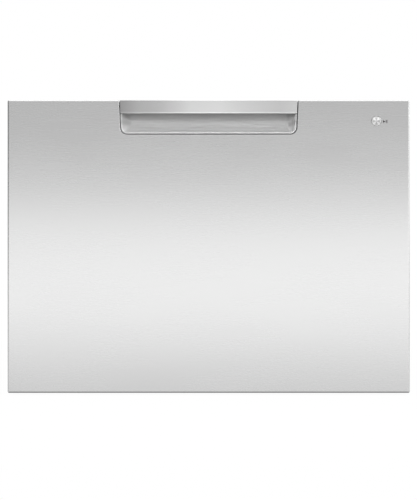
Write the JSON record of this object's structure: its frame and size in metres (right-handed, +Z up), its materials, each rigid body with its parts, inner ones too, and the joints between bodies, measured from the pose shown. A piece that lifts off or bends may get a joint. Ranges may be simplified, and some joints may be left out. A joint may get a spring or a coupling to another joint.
{
  "type": "dishwasher drawer",
  "caption": "Single-drawer dishwasher: a steel chassis with a tub, basket, spray arm and pump that roll out on telescopic runners behind a brushed steel front.",
  "frame": {"origin": "on the floor, under the middle of the whole machine's footprint", "axes": "+X to the right as seen from the front, +Y from the front towards the back, so the front faces -Y and the drawer opens along -Y, +Z up"},
  "size_m": [0.599, 0.573, 0.44],
  "materials": {
    "brushed_steel": "stainless sheet brushed lengthwise, with a fingerprint coat",
    "lip_steel": "rolled stainless sheet, brushed lengthwise",
    "spun_steel": "turned face with fine rings",
    "galvanised_steel": "galvanised sheet with a faint spangle",
    "runner_steel": "cold-rolled, zinc plated",
    "spring_steel": "drawn wire and drawn tube",
    "motor_steel": "stacked sheets",
    "pocket_plastic": "moulded, metallic silver paint",
    "liner_plastic": "moulded, fine texture",
    "tub_plastic": "moulded polypropylene",
    "lid_plastic": "moulded polypropylene",
    "pan_plastic": "moulded, coarse texture",
    "rubber": "moulded and extruded elastomer",
    "coated_wire": "steel wire dipped in grey nylon",
    "dark_plastic": "moulded, fine texture",
    "blue_plastic": "moulded, polished",
    "circuit_board": "solder mask over glass laminate",
    "gear_plastic": "moulded acetal"
  },
  "bodies": {
    "chassis": {"chassis_side_right": "galvanised_steel", "chassis_side_left": "galvanised_steel", "chassis_top": "galvanised_steel", "chassis_back": "galvanised_steel", "base_pan": "pan_plastic", "rubber_foot_front_right": "rubber", "rubber_foot_front_left": "rubber", "rubber_foot_rear_right": "rubber", "rubber_foot_rear_left": "rubber", "runner_outer_right": "runner_steel", "runner_outer_left": "runner_steel", "lid_motor_right": "dark_plastic", "lid_motor_left": "dark_plastic", "service_hose": "rubber", "drain_spigot": "dark_plastic", "inlet_valve": "tub_plastic", "terminal_box": "dark_plastic"},
    "runner_middles": {"runner_middle_right": "runner_steel", "runner_middle_left": "runner_steel"},
    "drawer": {"runner_inner_right": "runner_steel", "runner_inner_left": "runner_steel", "cradle_rail_right": "galvanised_steel", "cradle_rail_left": "galvanised_steel", "front_skin": "brushed_steel", "handle_lip": "lip_steel", "handle_pocket": "pocket_plastic", "front_liner": "liner_plastic", "front_seal": "rubber", "button_spring": "spring_steel", "control_module": "circuit_board", "tub": "tub_plastic", "tub_seal": "rubber", "heating_element": "spring_steel", "pump_cover": "dark_plastic", "filter_plate": "brushed_steel", "motor_housing": "dark_plastic", "motor_stator": "motor_steel", "drain_pump": "dark_plastic", "drain_hose": "rubber", "dispenser_body": "tub_plastic", "basket_floor": "coated_wire", "tine_comb": "coated_wire", "basket_front": "coated_wire", "basket_rear": "coated_wire", "basket_side_right": "coated_wire", "basket_side_left": "coated_wire", "cutlery_basket": "dark_plastic"},
    "button": {"start_button": "spun_steel"},
    "spray_arm": {"spray_arm": "dark_plastic"},
    "rotor": {"wash_rotor": "dark_plastic"},
    "filter_cup": {"filter_cup": "dark_plastic"},
    "dispenser_cover": {"dispenser_cover": "dark_plastic"},
    "rinse_cap": {"rinse_cap": "blue_plastic"},
    "tines_left": {"tine_row_left": "coated_wire"},
    "tines_right": {"tine_row_right": "coated_wire"},
    "shelf_left": {"cup_shelf_left": "coated_wire"},
    "shelf_right": {"cup_shelf_right": "coated_wire"},
    "lid": {"lid_panel": "lid_plastic"},
    "pinion_left": {"lid_pinion_left": "gear_plastic"},
    "pinion_right": {"lid_pinion_right": "gear_plastic"}
  },
  "joints": [
    {"name": "drawer_slide", "type": "slide", "parent": "chassis", "child": "drawer", "axis": [0, -1, 0], "range_m": [0, 0.48], "deforming": ["service_hose"]},
    {"name": "runner_slide", "type": "slide", "parent": "chassis", "child": "runner_middles", "axis": [0, -1, 0], "range_m": [0, 0.24]},
    {"name": "lid_drop", "type": "slide", "parent": "chassis", "child": "lid", "axis": [0, 0, -1], "range_m": [0, 0.01]},
    {"name": "pinion_left_turn", "type": "hinge", "parent": "chassis", "child": "pinion_left", "pos_m": [-0.287, 0, 0.409], "axis": [1, 0, 0], "range_deg": [0, 64]},
    {"name": "pinion_right_turn", "type": "hinge", "parent": "chassis", "child": "pinion_right", "pos_m": [0.287, 0, 0.409], "axis": [1, 0, 0], "range_deg": [0, 64]},
    {"name": "button_press", "type": "slide", "parent": "drawer", "child": "button", "axis": [0, 1, 0], "range_m": [0, 0.0012], "stiffness_N_per_m": 1500, "springref_m": -0.0006, "deforming": ["button_spring"]},
    {"name": "spray_spin", "type": "hinge", "parent": "drawer", "child": "spray_arm", "pos_m": [0, -0.0067, 0.126], "axis": [0, 0, 1], "continuous": true},
    {"name": "rotor_spin", "type": "hinge", "parent": "drawer", "child": "rotor", "pos_m": [0, -0.0067, 0.04], "axis": [0, 0, 1], "continuous": true},
    {"name": "filter_twist", "type": "hinge", "parent": "drawer", "child": "filter_cup", "pos_m": [0, -0.1167, 0.09], "axis": [0, 0, 1], "range_deg": [0, 40]},
    {"name": "dispenser_cover_slide", "type": "slide", "parent": "drawer", "child": "dispenser_cover", "axis": [1, 0, 0], "range_m": [0, 0.056]},
    {"name": "rinse_cap_turn", "type": "hinge", "parent": "drawer", "child": "rinse_cap", "pos_m": [0.002, -0.2142, 0.27], "axis": [0, 1, 0], "range_deg": [0, 90]},
    {"name": "tine_fold_left", "type": "hinge", "parent": "drawer", "child": "tines_left", "pos_m": [-0.075, 0, 0.15974], "axis": [0, -1, 0], "range_deg": [0, 75]},
    {"name": "tine_fold_right", "type": "hinge", "parent": "drawer", "child": "tines_right", "pos_m": [0.075, 0, 0.15974], "axis": [0, 1, 0], "range_deg": [0, 75]},
    {"name": "shelf_fold_left", "type": "hinge", "parent": "drawer", "child": "shelf_left", "pos_m": [-0.24, 0, 0.275], "axis": [0, -1, 0], "range_deg": [0, 80]},
    {"name": "shelf_fold_right", "type": "hinge", "parent": "drawer", "child": "shelf_right", "pos_m": [0.24, 0, 0.275], "axis": [0, 1, 0], "range_deg": [0, 80]}
  ],
  "couplings": [
    {"joint": "runner_slide", "follows": "drawer_slide", "ratio": 0.5},
    {"joint": "pinion_left_turn", "follows": "lid_drop", "rad_per_m": 111.11},
    {"joint": "pinion_right_turn", "follows": "lid_drop", "rad_per_m": 111.11}
  ]
}
